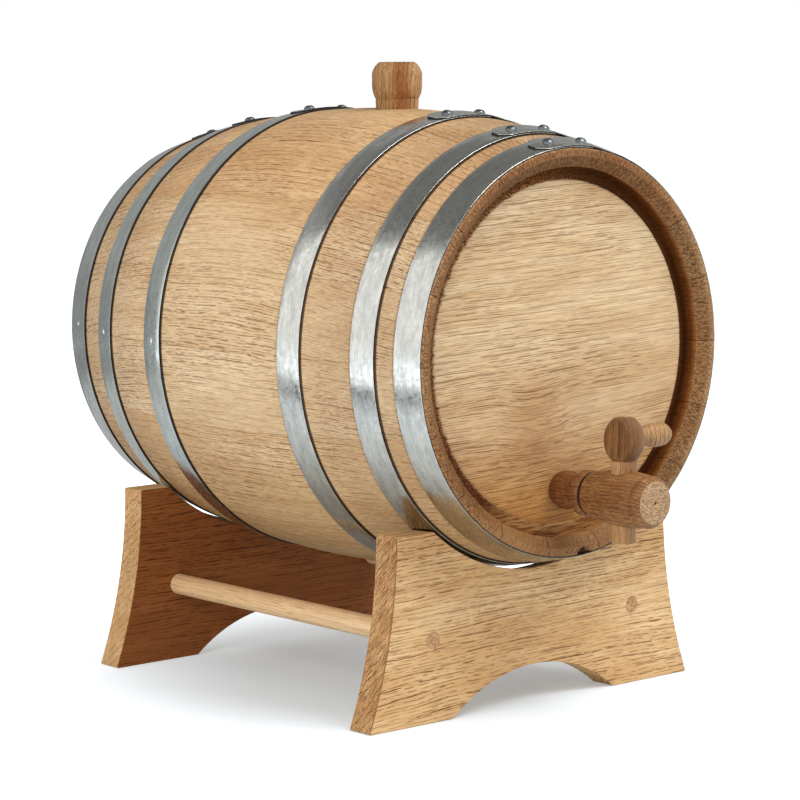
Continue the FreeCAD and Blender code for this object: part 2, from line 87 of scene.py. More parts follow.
class Finish:
    """One material, with a short call for each kind of node in it."""

    def __init__(self, name, **shine):
        self.material = bpy.data.materials.new(name)
        self.material.use_nodes = True
        self.tree = self.material.node_tree
        self.surface = self.tree.nodes["Principled BSDF"]
        for label, value in shine.items():
            self.surface.inputs[label.replace("_", " ")].default_value = value

    def node(self, kind, *values, **settings):
        made = self.tree.nodes.new("ShaderNode" + kind)
        for label, value in settings.items():
            setattr(made, label, value)
        for place, value in enumerate(values):
            self.feed(made.inputs[place], value)
        return made

    def feed(self, inlet, value):
        if isinstance(value, bpy.types.NodeSocket):
            self.tree.links.new(value, inlet)
        elif value is not None:
            inlet.default_value = value

    def do(self, operation, *values):
        return self.node("Math", *values, operation=operation).outputs[0]

    def times(self, first, second):
        return self.do("MULTIPLY", first, second)

    def most(self, first, second):
        return self.do("MAXIMUM", first, second)

    def less(self, value, amount):
        return self.do("SUBTRACT", value, amount)

    def off(self, value, middle):
        """How far a value is from a middle one, to either side."""
        return self.do("ABSOLUTE", self.less(value, middle))

    def slanting(self, first, share, second, other):
        """Distance along a slanting line, from two coordinates and the share of each in it."""
        return self.do("ADD", self.times(first, share), self.times(second, other))

    def point(self, x, y, z=0.0):
        return self.node("CombineXYZ", x, y, z).outputs[0]

    def spot(self):
        """The point itself, on the piece as it stands at rest, in metres."""
        return self.node("TexCoord").outputs["Object"]

    def place(self):
        """The three coordinates of that point."""
        return self.node("SeparateXYZ", self.spot()).outputs

    def away(self, at, x, y, z):
        """Distance in metres from a place given in millimetres."""
        made = self.node("VectorMath", at, (x / 1000, y / 1000, z / 1000), operation="DISTANCE")
        return made.outputs["Value"]

    def cloud(self, at, detail=2.0, roughness=0.5):
        made = self.node("TexNoise", at)
        made.inputs["Scale"].default_value = 1.0
        made.inputs["Detail"].default_value = detail
        made.inputs["Roughness"].default_value = roughness
        return made.outputs[0]

    def speckle(self, fineness, detail=2.0):
        """Even noise all over the piece, with `fineness` spots to a metre."""
        spots = self.cloud(self.spot(), detail)
        spots.node.inputs["Scale"].default_value = fineness
        return spots

    def streaks(self, *runs, detail=2.0, roughness=0.5):
        """Noise that is drawn out: each run is a coordinate and its number of spots to a unit."""
        return self.cloud(self.point(*(self.times(value, spots) for value, spots in runs)),
                          detail, roughness)

    def step(self, value, low, high, at_low=0.0, at_high=1.0):
        """Smooth change from at_low to at_high as value goes from low to high."""
        return self.node("MapRange", value, low, high, at_low, at_high,
                         interpolation_type="SMOOTHSTEP").outputs[0]

    def change(self, value, low, high, at_low=0.0, at_high=1.0):
        """The same for a place or distance, with low and high in millimetres."""
        return self.step(value, low / 1000, high / 1000, at_low, at_high)

    def blend(self, share, first, second, way="MIX"):
        made = self.tree.nodes.new("ShaderNodeMix")
        made.data_type = "RGBA"
        made.blend_type = way
        self.feed(made.inputs[0], share)
        self.feed(made.inputs[6], first)
        self.feed(made.inputs[7], second)
        return made.outputs[2]

    def dyed(self, tone, tint, share=1.0):
        """A tone with a tint soaked into it."""
        return self.blend(share, tone, tint, "MULTIPLY")

    def wear(self, colour=None, roughness=None, height=None, lift=0.0002, strength=0.5):
        self.feed(self.surface.inputs["Base Color"], colour)
        self.feed(self.surface.inputs["Roughness"], roughness)
        if height is not None:
            bump = self.node("Bump")
            bump.inputs["Strength"].default_value = strength
            bump.inputs["Distance"].default_value = lift
            self.feed(bump.inputs["Height"], height)
            self.feed(self.surface.inputs["Normal"], bump.outputs[0])
        return self.material


def oak(finish, across, along, depth, pale, brown, pore, ring=3.3, slant=35.0, seed=0.0, deep=0.85,
        wander=1.0, dash=85.0, swirl=None):
    """Solid oak: growth rings that open in rows of long pores, fine fibre and broad figure.

    Coordinates and swirl, a local shift of the rings, are in metres, ring in millimetres, and dash
    is the number of openings to a metre of a row. Returns the colour and the height."""
    def stretched(over, down, into, *shape):
        return finish.cloud(finish.point(finish.do("MULTIPLY_ADD", across, over, seed),
                                         finish.do("MULTIPLY_ADD", along, down, seed),
                                         finish.times(depth, into)), *shape)

    wavy = finish.do("MULTIPLY_ADD", depth, math.sin(math.radians(slant)),
                     finish.times(across, math.cos(math.radians(slant))))
    if swirl is not None:
        wavy = finish.do("ADD", wavy, swirl)
    for scale, stretch, sway in ((14.0, 4.0, 0.012), (110.0, 24.0, 0.0022), (800.0, 130.0, 0.00035)):
        wavy = finish.do("MULTIPLY_ADD", stretched(scale, stretch, scale, 1.0), sway * wander, wavy)
    plenty = finish.step(stretched(30.0, 11.0, 30.0, 1.0), 0.36, 0.60, 0.55, 1.0)
    opened = finish.step(stretched(1500.0, dash * 1.3, 1500.0, 1.0), 0.58, 0.76, 0.0, 0.6)
    # a fine row of openings inside each year's growth, then the strong row that opens the year
    for period, strong, apart, often in ((ring * 0.37, 0.7, 1100.0, dash * 1.7), (ring, 1.0, 420.0, dash)):
        year = finish.do("FRACT", finish.do("DIVIDE", wavy, period / 1000))
        off = finish.times(finish.off(year, 0.5), period)
        line = finish.times(finish.step(off, 0.08, 0.24, strong, 0.0),
                            finish.step(stretched(apart, often, apart, 1.0), 0.44, 0.53))
        opened = finish.most(opened, line)
    opened = finish.times(opened, plenty)
    broken = finish.step(stretched(1700.0, dash * 2.2, 1700.0, 1.0), 0.28, 0.44, 0.4, 1.0)
    opened = finish.times(opened, broken)
    streak = stretched(750.0, 20.0, 750.0, 2.0, 0.6)
    late = finish.times(finish.do("GREATER_THAN", year, 0.5), finish.step(year, 0.5, 0.95, 0.3, 0.0))
    fibre = stretched(2200.0, 45.0, 2200.0)
    figure = stretched(55.0, 10.0, 55.0, 3.0, 0.6)
    tone = finish.blend(finish.step(figure, 0.3, 0.7, 0.0, 0.8), pale, brown)
    tone = finish.blend(late, tone, brown)
    tone = finish.blend(finish.step(streak, 0.42, 0.66, 0.0, 0.40), tone, brown)
    tone = finish.blend(finish.step(fibre, 0.35, 0.65, 0.0, 0.16), tone, pore)
    tone = finish.blend(finish.times(opened, deep), tone, pore)
    height = finish.less(finish.times(fibre, 0.3), opened)
    return tone, height


def skin(rows):
    """A closed skin over rows of points, each row a loop round the piece, capped at both ends."""
    count = len(rows[0])
    last = (len(rows) - 1) * count
    faces = []
    for start in range(0, last, count):
        for j in range(count):
            k = (j + 1) % count
            faces.append((start + j, start + k, start + count + k, start + count + j))
    faces.append(tuple(range(count - 1, -1, -1)))
    faces.append(tuple(range(last, last + count)))
    return [p for row in rows for p in row], faces


def shell(name, shape):
    """A solid from points in millimetres and faces, which it turns to look outwards."""
    points, faces = shape
    mesh = bpy.data.meshes.new(name)
    mesh.from_pydata([[c / 1000 for c in p] for p in points], [], faces)
    turner = bmesh.new()
    turner.from_mesh(mesh)
    bmesh.ops.recalc_face_normals(turner, faces=turner.faces)
    turner.to_mesh(mesh)
    turner.free()
    made = bpy.data.objects.new(name, mesh)
    bpy.context.scene.collection.objects.link(made)
    return made


def piece(name, shape, body, material, slot, *nodes, crease=CREASE):
    """Makes one piece, with its edges sharp over `crease` degrees, hangs it on its body and hides the parts
    it stands for.
    """
    made = shell(name, shape)
    made.data.shade_smooth()
    made.data.set_sharp_from_angle(angle=math.radians(crease))
    made.data.materials.append(material)
    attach(made, body)
    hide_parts(*nodes)
    return made


def bow(middle, end):
    """Radius of one face of the staves at a distance from mid-length."""
    bend = (HALF_LENGTH ** 2 + (middle - end) ** 2) / (2 * (middle - end))
    return lambda place: middle - bend + math.sqrt(bend ** 2 - place ** 2)


outside = bow(BILGE_RADIUS, CHIME_RADIUS)
inside = bow(BILGE_RADIUS - BILGE_WALL, CHIME_RADIUS - CHIME_WALL)


def on_cask(place, radius, turn):
    """Point along the cask from mid-length, out from its axis and round from the top."""
    return (radius * math.sin(turn), place + CASK_MIDDLE, CASK_HEIGHT + radius * math.cos(turn))


def roughness_at(place, turn, grain=1.6):
    """Smooth chance from -1 to 1 round the cask, changing over about `grain` mm. Each place along
    the cask has a pattern of its own."""
    return noise.noise(Vector(on_cask(place, CHIME_RADIUS, turn)) / grain)


def chip_at(turn):
    """How much of the chip in the front rim there is at a turn, from 0 to 1."""
    off = abs(math.remainder(turn - CHIP_TURN, 2 * math.pi))
    return max(0.0, 1 - off / CHIP_HALF) ** 0.5


def stave_end(sign, turn):
    """One end of a stave from its outer arris in to the croze, with the marks of saw and croze iron."""
    chipped = chip_at(turn) if sign < 0 else 0.0
    arris = HALF_LENGTH - STAVE_ARRIS
    rim = [(arris, outside(arris)), (HALF_LENGTH, CHIME_RADIUS - STAVE_ARRIS)]
    rim += [(HALF_LENGTH, CHIME_RADIUS - CHIME_LAND * k / 3) for k in (1, 2, 3)]
    rim = [(place - back * chipped, radius - down * chipped)
           for (place, radius), (back, down) in zip(rim, CHIP)]
    edge = CHIME_RADIUS - CHIME_LAND
    rim += [(HALF_LENGTH - CHIME_BEVEL * k / 6, edge + (inside(BEVEL_FOOT) - edge) * k / 6)
            for k in range(1, 7)]
    points = []
    for number, (place, radius) in enumerate(rim):
        rough = roughness_at(sign * place * 1.4, turn) * (SAW_MARKS if number > 1 else 0.0)
        points.append((sign * (place - abs(rough)), radius + rough * 0.5))
    for k in range(1, 6):
        place = BEVEL_FOOT - (BEVEL_FOOT - CROZE_OUTER) * k / 5
        marks = CROZE_IRON_MARKS * roughness_at(sign * place, turn, 3.0)
        points.append((sign * place, inside(place) + marks))
    groove = inside(CROZE_OUTER) + CROZE_DEPTH
    points += [(sign * CROZE_OUTER, groove), (sign * CROZE_INNER, groove),
               (sign * CROZE_INNER, inside(CROZE_INNER))]
    return points


def stave(number):
    """One stave, from outlines of it on planes through the cask's axis, joint to joint."""
    middle = (number - 1) * STAVE_TURN
    half = STAVE_TURN / 2
    arris = STAVE_ARRIS / BILGE_RADIUS
    inner_cuts = [half * k / CUTS_ACROSS for k in range(1 - CUTS_ACROSS, CUTS_ACROSS)]
    rows = []
    for offset in [-half, -half + arris, *inner_cuts, half - arris, half]:
        edge = STAVE_ARRIS if abs(offset) > half - arris / 2 else 0.0
        turn = middle + offset
        loop = []
        for k in range(-CUTS_ALONG, CUTS_ALONG + 1):
            place = (HALF_LENGTH - 2 * STAVE_ARRIS) * k / CUTS_ALONG
            loop.append((place, outside(place) - edge))
        rear, front = stave_end(1, turn), stave_end(-1, turn)
        for run in (rear, front):
            run[0] = (run[0][0], run[0][1] - edge)
        if chip_at(turn) > 0:
            loop[0] = (front[0][0] + STAVE_ARRIS, loop[0][1])
        for k in range(CUTS_INSIDE - 1, -CUTS_INSIDE, -1):
            place = CROZE_INNER * k / CUTS_INSIDE
            rear.append((place, inside(place)))
        loop += rear + front[::-1]
        rows.append([on_cask(place, radius, turn) for place, radius in loop])
    return skin(rows)


def painted_foot_light(finish, x, z):
    """Share of the painted light on the rim at the bottom of the cask's ends, from 0 to 1."""
    return finish.times(finish.change(z, 88, 104, 1.0, 0.0), finish.change(x, 20, 50, 1.0, 0.0))


stave_finish = Finish("stave_oak", Roughness=0.55, Specular_IOR_Level=0.2)
x, y, z = stave_finish.place()
up = stave_finish.less(z, CASK_HEIGHT / 1000)
turn = stave_finish.do("ARCTAN2", up, x)
reach = stave_finish.do("SQRT", stave_finish.do("ADD", stave_finish.times(x, x), stave_finish.times(up, up)))
staves_round = stave_finish.do("DIVIDE", turn, STAVE_TURN)
which_stave = stave_finish.do("FLOOR", staves_round)
dice = stave_finish.node("TexWhiteNoise", noise_dimensions="1D")
stave_finish.feed(dice.inputs["W"], which_stave)
tone, height = oak(stave_finish, stave_finish.times(turn, MEAN_RADIUS / 1000), y, reach,
                   dye(237, 212, 174), dye(211, 177, 134), dye(112, 70, 36),
                   ring=2.7, dash=105.0, seed=stave_finish.times(which_stave, 7.3))
own_tint = stave_finish.blend(dice.outputs[0], dye(252, 251, 247), dye(251, 242, 232))
tone = stave_finish.dyed(tone, own_tint)
# painted shade darkens the top of the cask a little; towards the bottom the staves are browner and darker
tone = stave_finish.dyed(tone, dye(243, 232, 218), stave_finish.change(z, 205, 255))
tone = stave_finish.dyed(tone, dye(228, 215, 190), stave_finish.change(z, 75, 150, 0.9, 0.0))
end = stave_finish.off(y, CASK_MIDDLE / 1000)
tone = stave_finish.dyed(tone, dye(234, 232, 234), stave_finish.change(end, 55, 85, 0.0, 0.8))
# the land on the end is weathered and the bevel dark and speckled; the wall above the head is darker wood
# with painted shade, darkest by the head
proud = stave_finish.less(reach, (CHIME_RADIUS - 0.6) / 1000)
within = stave_finish.times(stave_finish.change(end, CROZE_INNER - 2.3, CROZE_INNER - 1.3),
                            stave_finish.change(proud, 0.2, 0.6, 1.0, 0.0))
on_end = stave_finish.most(within, stave_finish.change(end, HALF_LENGTH - 0.95, HALF_LENGTH - 0.55))
hatch = stave_finish.streaks((turn, 190.0), (reach, 420.0), (y, 900.0), detail=3.0, roughness=0.65)
spots = stave_finish.step(hatch, 0.40, 0.62)
bevel = stave_finish.blend(spots, dye(204, 180, 148), dye(118, 92, 70))
land = stave_finish.blend(spots, dye(222, 196, 168), dye(138, 109, 86))
end_stain_and_painted_light = stave_finish.blend(stave_finish.change(proud, -3.4, -2.6), bevel, land)
# the outer corner is rubbed pale, and on the right the outer part of the land gets a painted highlight, as if
# lit from behind
rubbed = stave_finish.times(stave_finish.change(proud, -0.2, 0.1),
                            stave_finish.step(hatch, 0.35, 0.55, 0.9, 0.2))
pale = stave_finish.times(stave_finish.change(x, 30, 70, 0.0, 0.8),
                          stave_finish.times(stave_finish.change(proud, -2.6, -1.0),
                                             stave_finish.step(hatch, 0.38, 0.56, 1.0, 0.25)))
end_stain_and_painted_light = stave_finish.blend(stave_finish.most(rubbed, pale), end_stain_and_painted_light, dye(240, 226, 208))
# painted light brightens the end and the wall at the bottom of the rim
foot_light = painted_foot_light(stave_finish, x, z)
end_stain_and_painted_light = stave_finish.blend(stave_finish.times(foot_light, 0.5), end_stain_and_painted_light, dye(236, 218, 200))
# painted shade on the wall above the head, deepest next to the head; at the foot painted light takes its
# place
wall_tone_and_shade = stave_finish.blend(stave_finish.change(end, HEAD_FACE + 0.35, BEVEL_FOOT - 0.05),
                          dye(144, 99, 60), dye(200, 158, 116))
wall_tone_and_shade = stave_finish.blend(foot_light, wall_tone_and_shade, dye(244, 222, 190))
end_stain_and_painted_light = stave_finish.blend(stave_finish.change(end, BEVEL_FOOT - 0.65, BEVEL_FOOT + 0.55, 1.0, 0.0),
                           end_stain_and_painted_light, wall_tone_and_shade)
to_joint = stave_finish.off(stave_finish.do("FRACT", staves_round), 0.5)
end_stain_and_painted_light = stave_finish.blend(stave_finish.step(to_joint, 0.490, 0.496, 0.0, 0.85), end_stain_and_painted_light, dye(60, 34, 18))
# painted shade in the chip at the front rim
chip_off = stave_finish.away(stave_finish.spot(), *CHIP_SHADE_PLACE)
end_stain_and_painted_light = stave_finish.blend(stave_finish.change(chip_off, 1.4, 2.6, 0.9, 0.0), end_stain_and_painted_light, dye(40, 28, 20))
tone = stave_finish.blend(on_end, tone, stave_finish.dyed(tone, end_stain_and_painted_light))
stave_oak = stave_finish.wear(tone, None, height)

for number in range(1, STAVE_COUNT + 1):
    node = "bung_stave" if number == 1 else "stave_%02d" % number
    piece("oak_" + node, stave(number), "cask", stave_oak, "stave_oak", node)

# ---- HEADS --------------------------------------------------------------------------------------
# Each end is closed by three oak boards, pinned edge to edge and turned to a disc. Its rim is
# bevelled with a drawknife, which tears the end grain at both sides, and stands in the croze.

HEAD_TURN = math.radians(5)
GRAIN_TURN = HEAD_TURN * 0.6
UPPER_JOINT = 34.0
LOWER_JOINT = -20.0
HEAD_THICKNESS = 10.0
HEAD_BACK = HEAD_FACE - HEAD_THICKNESS
HEAD_PLAY = 0.25
HEAD_RADIUS = inside(HEAD_FACE) - HEAD_PLAY
HEAD_BEVEL = 7.4
HEAD_ARRIS = 0.4
CROZE_PLAY = 0.05
TONGUE_RADIUS = inside(CROZE_OUTER) + CROZE_DEPTH - CROZE_PLAY
TONGUE = ((CROZE_OUTER - CROZE_PLAY, TONGUE_RADIUS), (CROZE_INNER + CROZE_PLAY, TONGUE_RADIUS),
          (CROZE_INNER + CROZE_PLAY, HEAD_RADIUS), (HEAD_BACK + HEAD_ARRIS, HEAD_RADIUS),
          (HEAD_BACK, HEAD_RADIUS - HEAD_ARRIS), (HEAD_BACK, HEAD_RADIUS - 8.0))
HEAD_CUTS = 540
BEVEL_CUTS = 7
KNOT = (-18.0, 0.0, 136.0)


def head_disc(sign):
    """Rings of points from the middle of a head's outer face over its torn bevel to its inner face."""
    spokes = []
    for number in range(HEAD_CUTS):
        turn = 2 * math.pi * number / HEAD_CUTS
        rough = max(0.0, -math.sin(turn - 0.5)) * abs(math.sin(turn - sign * HEAD_TURN))
        torn = max(0.0, roughness_at(sign * 9, turn, 2.6) + 0.9 * roughness_at(sign * 4, turn, 0.9) + 0.1)
        edge = HEAD_RADIUS - HEAD_BEVEL - torn * (0.2 + 1.3 * rough)
        spoke = [(HEAD_FACE, edge - inward) for inward in (8.0, 3.0, 1.0, 0.0)]
        for k in range(1, BEVEL_CUTS + 1):
            share = k / BEVEL_CUTS
            pit = roughness_at(sign * 40 * share, turn, 1.1) * (0.15 + 0.7 * rough) * (1 - share ** 3)
            spoke.append((HEAD_FACE - (HEAD_FACE - CROZE_OUTER + CROZE_PLAY) * share - abs(pit),
                          edge + (HEAD_RADIUS - edge) * share))
        spokes.append([on_cask(sign * place, radius, turn) for place, radius in (*spoke, *TONGUE)])
    return skin(list(zip(*spokes)))


def saw(made, rise, above):
    """Saws a head at a joint, `rise` mm from the axis, and keeps what lies above or below it."""
    square = Vector((-math.sin(HEAD_TURN), 0, math.cos(HEAD_TURN)))
    on_joint = Vector((0, 0, CASK_HEIGHT / 1000)) + square * (rise / 1000)
    cutter = bmesh.new()
    cutter.from_mesh(made.data)
    everything = cutter.verts[:] + cutter.edges[:] + cutter.faces[:]
    bmesh.ops.bisect_plane(cutter, geom=everything, plane_co=on_joint, plane_no=square,
                           clear_inner=above, clear_outer=not above)
    bmesh.ops.holes_fill(cutter, edges=[e for e in cutter.edges if e.is_boundary])
    cutter.to_mesh(made.data)
    cutter.free()
    made.data.set_sharp_from_angle(angle=math.radians(CREASE))


head_finish = Finish("head_oak", Roughness=0.55, Specular_IOR_Level=0.2)
x, y, z = head_finish.place()
up = head_finish.less(z, CASK_HEIGHT / 1000)
level = head_finish.slanting(x, -math.sin(GRAIN_TURN), up, math.cos(GRAIN_TURN))
side = head_finish.slanting(x, math.cos(GRAIN_TURN), up, math.sin(GRAIN_TURN))
which_board = head_finish.do("ADD", head_finish.do("GREATER_THAN", level, UPPER_JOINT / 1000),
                             head_finish.do("GREATER_THAN", level, LOWER_JOINT / 1000))
near_knot = head_finish.change(head_finish.away(head_finish.point(x, 0.0, z), *KNOT), 4, 30, 1.0, 0.0)
tone, height = oak(head_finish, level, side, y, dye(241, 213, 170), dye(212, 173, 124), dye(110, 66, 28),
                   ring=2.8, slant=20.0, seed=head_finish.do("MULTIPLY_ADD", which_board, 5.7, 3.1),
                   dash=60.0, swirl=head_finish.times(near_knot, 0.0035))
tone = head_finish.dyed(tone, dye(206, 164, 116), head_finish.times(near_knot, 0.4))
# the lower part of the head is browner, partly the wood's tone and partly painted shade
tone = head_finish.dyed(tone, dye(206, 166, 112), head_finish.change(z, 85, 165, 1.0, 0.0))
# below the plane of the face the bevel is torn end grain, dark with age; on the right it gets painted shade,
# near black beside the face, and at the bottom painted light
end = head_finish.off(y, CASK_MIDDLE / 1000)
on_bevel = head_finish.times(head_finish.change(end, HEAD_FACE - 0.7, HEAD_FACE - 0.1, 1.0, 0.0),
                             head_finish.change(end, HEAD_BACK + 1.0, CROZE_INNER + 1.2))
spots = head_finish.step(head_finish.speckle(1100.0, 3.0), 0.40, 0.62)
torn = head_finish.blend(spots, dye(196, 152, 108), dye(104, 70, 42))
# painted shade on the right of the bevel, near black beside the face
right = head_finish.blend(head_finish.change(end, HEAD_FACE - 1.65, HEAD_FACE - 0.25),
                          dye(120, 82, 52), dye(48, 32, 20))
torn = head_finish.dyed(tone, head_finish.blend(head_finish.change(x, -20, 30), torn, right))
arcs = head_finish.streaks((side, 90.0), (level, 900.0), (y, 300.0), detail=3.0, roughness=0.6)
arcs = head_finish.blend(head_finish.step(arcs, 0.44, 0.60), dye(212, 164, 106), dye(146, 96, 54))
torn = head_finish.blend(painted_foot_light(head_finish, x, z), torn, arcs)
head_oak = head_finish.wear(head_finish.blend(on_bevel, tone, torn), None, height)

for sign, end in ((-1, "front"), (1, "rear")):
    for board, cuts in (("top", ((UPPER_JOINT, True),)), ("bottom", ((LOWER_JOINT, False),)),
                        ("middle", ((UPPER_JOINT, False), (LOWER_JOINT, True)))):
        made = piece("%s_%s_oak" % (end, board), head_disc(sign), "cask", head_oak, "head_oak",
                     "%s_head_%s_board" % (end, board))
        for rise, above in cuts:
            saw(made, rise, above)

# ---- HOOPS --------------------------------------------------------------------------------------
# Six galvanised strips, each bent into a ring, lapped over itself on top of the cask and driven on
# over the staves. The cut edges are dark, partly oxide and partly painted shade, with a painted
# highlight on the right, and the corners of the front hoops are worn bright.

STRIP = 0.8
STRIP_GAP = 0.08
STRIP_EASE = 0.1
STRIP_CORNER = 0.18
STRIP_CUTS = 720
NARROWEST_CUT = 0.004
RIVET_SPACING = 21.0
LAP_END = 10.5
LAP_CORNER = 4.5
LAP_RAMP = 9.0
# the end of the cask, how far back from it the strip starts, and the strip's width
HOOPS = {
    "front_chime": (-1, 0.6, 13.9), "front_quarter": (-1, 25.4, 13.1), "front_bilge": (-1, 68.9, 13.9),
    "rear_bilge": (1, 82.4, 13.9), "rear_quarter": (1, 34.8, 13.1), "rear_chime": (1, 0.6, 16.9)}
# the strip's cross-section has fifteen points, and these pairs of them bound its dark faces
LOOP_POINTS = 15
CUT_EDGES = ((0, 1), (1, 2), (12, 13), (13, 14), (0, 14))
CORNER_TO_MIDDLE = ((2, 3), (3, 4))


class Hoop:
    """Where one hoop lies: it is a cone that touches the staves at the strip's two edges."""

    def __init__(self, sign, set_back, width):
        self.sign = sign
        self.outer = HALF_LENGTH - set_back
        self.inner = self.outer - width
        self.small = outside(self.outer) + STRIP_GAP
        large = outside(self.inner) + STRIP_GAP
        self.slope = math.atan2(large - self.small, width)
        self.top = (self.small + large) / 2 + 2 * STRIP

    def at(self, place, lift, turn):
        radius = self.small + (self.outer - place) * math.tan(self.slope) + lift * math.cos(self.slope)
        return on_cask(self.sign * (place + lift * math.sin(self.slope)), radius, turn)


def strip_loop(hoop, low, high, lift, turn):
    """Cross-section of the strip, from its lower inside corner over its rounded outer corners."""
    def chance(speed, side, place):
        return noise.noise(Vector((turn * speed, side, place)))

    def wobble(side):
        return max(0.0, 0.14 * chance(9, side, hoop.inner) + 0.16 * chance(48, side, hoop.outer))

    def nick(side):
        return 0.16 * max(0.0, chance(62, side, hoop.inner) + 0.1)

    low, high = low + wobble(1.0), high - wobble(5.0)
    crown = 0.03 * (1 + chance(14, 0.3, hoop.inner))
    full = STRIP - 0.06
    quarter = [math.radians(t) for t in (0, 30, 60, 90)]
    loop = [(low + STRIP_EASE, 0), (low, STRIP_EASE)]
    ease = STRIP_CORNER + nick(2.0)
    loop += [(low + ease * (1 - math.cos(a)), full - ease * (1 - math.sin(a))) for a in quarter]
    loop += [(low + (high - low) * t, full + crown) for t in (0.3, 0.5, 0.7)]
    ease = STRIP_CORNER + nick(7.0)
    loop += [(high - ease * (1 - math.sin(a)), full - ease * (1 - math.cos(a))) for a in quarter]
    loop += [(high, STRIP_EASE), (high - STRIP_EASE, 0)]
    return [hoop.at(place, lift + up, turn) for place, up in loop]


def strip(hoop):
    """The strip from its hidden end under the lap, once round the cask and up over itself."""
    reach = (RIVET_SPACING / 2 + LAP_END) / hoop.top
    ramp = LAP_RAMP / hoop.top
    start = reach - ramp
    stop = -reach - 2 * math.pi
    clipped = stop + LAP_CORNER / hoop.top
    turns = [start + (stop - start) * k / STRIP_CUTS for k in range(STRIP_CUTS + 1)]
    turns = [t for t in turns if t > clipped + NARROWEST_CUT] + [clipped, (clipped + stop) / 2, stop]
    rows = []
    for turn in turns:
        past = start - 2 * math.pi + ramp - turn
        lift = STRIP * min(1.0, max(0.0, past / ramp))
        clip = LAP_CORNER * max(0.0, (clipped - turn) / (clipped - stop))
        rows.append(strip_loop(hoop, hoop.inner + clip, hoop.outer - clip, lift, turn))
    return skin(rows)


hoop_finish = Finish("hoop_steel", Metallic=1.0)
x, y, z = hoop_finish.place()
turn = hoop_finish.do("ARCTAN2", hoop_finish.less(z, CASK_HEIGHT / 1000), x)
patches = hoop_finish.streaks((turn, 9.0), (y, 260.0), detail=5.0, roughness=0.65)
spangle = hoop_finish.speckle(420.0, 4.0)
scratches = hoop_finish.streaks((turn, 14.0), (y, 1800.0))
zinc = hoop_finish.blend(hoop_finish.step(patches, 0.3, 0.7), dye(252, 252, 248), dye(216, 218, 214))
zinc = hoop_finish.blend(hoop_finish.step(spangle, 0.35, 0.7, 0.0, 0.3), zinc, dye(206, 208, 204))
zinc = hoop_finish.blend(hoop_finish.step(scratches, 0.45, 0.7, 0.0, 0.35), zinc, dye(176, 180, 178))
# painted reflection: the rear hoops are tinted cool, as if mirroring grey
painted_cool_reflection = hoop_finish.blend(hoop_finish.change(y, -20, 60), dye(243, 242, 239), dye(247, 254, 253))
zinc = hoop_finish.dyed(zinc, painted_cool_reflection)
# painted reflection: the lower hoops, most of all in front, turn brown as if mirroring the shadowed floor and
# stand
painted_low_reflection = hoop_finish.times(hoop_finish.change(z, 85, 150, 0.8, 0.0),
                           hoop_finish.change(y, -50, 50, 1.0, 0.3))
zinc = hoop_finish.dyed(zinc, dye(170, 154, 132), painted_low_reflection)
dull = hoop_finish.do("ADD", hoop_finish.step(patches, 0.3, 0.75, 0.16, 0.28),
                      hoop_finish.step(spangle, 0.3, 0.7, -0.04, 0.08))
relief = hoop_finish.do("ADD", scratches, hoop_finish.times(spangle, 0.25))
hoop_steel = hoop_finish.wear(zinc, dull, relief, lift=0.00006, strength=0.35)

edge_finish = Finish("hoop_cut_edge", Metallic=0.2)
grime = edge_finish.speckle(400.0, 3.0)
# the dark edge is partly oxide and partly painted shade; on the right a painted highlight makes it pale
dark_edge_and_painted_shade = edge_finish.blend(grime, dye(14, 10, 8), dye(50, 40, 32))
right_painted_highlight = edge_finish.change(edge_finish.place()[0], 30, 70, 0.0, 0.8)
hoop_edge = edge_finish.wear(edge_finish.blend(right_painted_highlight, dark_edge_and_painted_shade, dye(178, 170, 152)),
                             edge_finish.step(grime, 0.3, 0.7, 0.5, 0.75), grime, lift=0.0001)

for name, (sign, set_back, width) in HOOPS.items():
    made = piece(name + "_strip", strip(Hoop(sign, set_back, width)), "cask", hoop_steel, "hoop_steel",
                 name + "_hoop")
    made.data.materials.append(hoop_edge)
    # on the rear hoops the corner towards mid-length takes the dark edge colour too, painted shade in place
    # of its glint
    dark = CUT_EDGES + CORNER_TO_MIDDLE if sign > 0 else CUT_EDGES
    for face in made.data.polygons:
        spots = [v % LOOP_POINTS for v in face.vertices]
        if len(spots) > 4 or (min(spots), max(spots)) in dark:
            face.material_index = 1

# painted shadow: a dark line on the staves beside each strip, most of all in front of it
painted_hoop_shadow = 0.0
along = stave_finish.place()[1]
for sign, set_back, width in HOOPS.values():
    outer_share, inner_share = (0.9, 0.3) if sign < 0 else (0.3, 0.9)
    for edge, share in ((HALF_LENGTH - set_back, outer_share), (HALF_LENGTH - set_back - width, inner_share)):
        if edge < HALF_LENGTH - 1:
            off = stave_finish.off(along, (CASK_MIDDLE + sign * edge) / 1000)
            painted_hoop_shadow = stave_finish.most(painted_hoop_shadow, stave_finish.change(off, 0.9, 1.6, share, 0.0))
colour = stave_finish.surface.inputs["Base Color"]
bare_wood = colour.links[0].from_socket
stave_finish.feed(colour, stave_finish.blend(painted_hoop_shadow, bare_wood, dye(44, 24, 12)))

# ---- RIVETS -------------------------------------------------------------------------------------
# Twelve steel rivets close the laps, two to a hoop. Each head is beaten down from outside, so no
# two are alike.

RIVET_RADIUS = 2.7
RIVET_HEIGHT = 1.7
RIVET_RIM = 0.6
RIVET_CUTS = 24


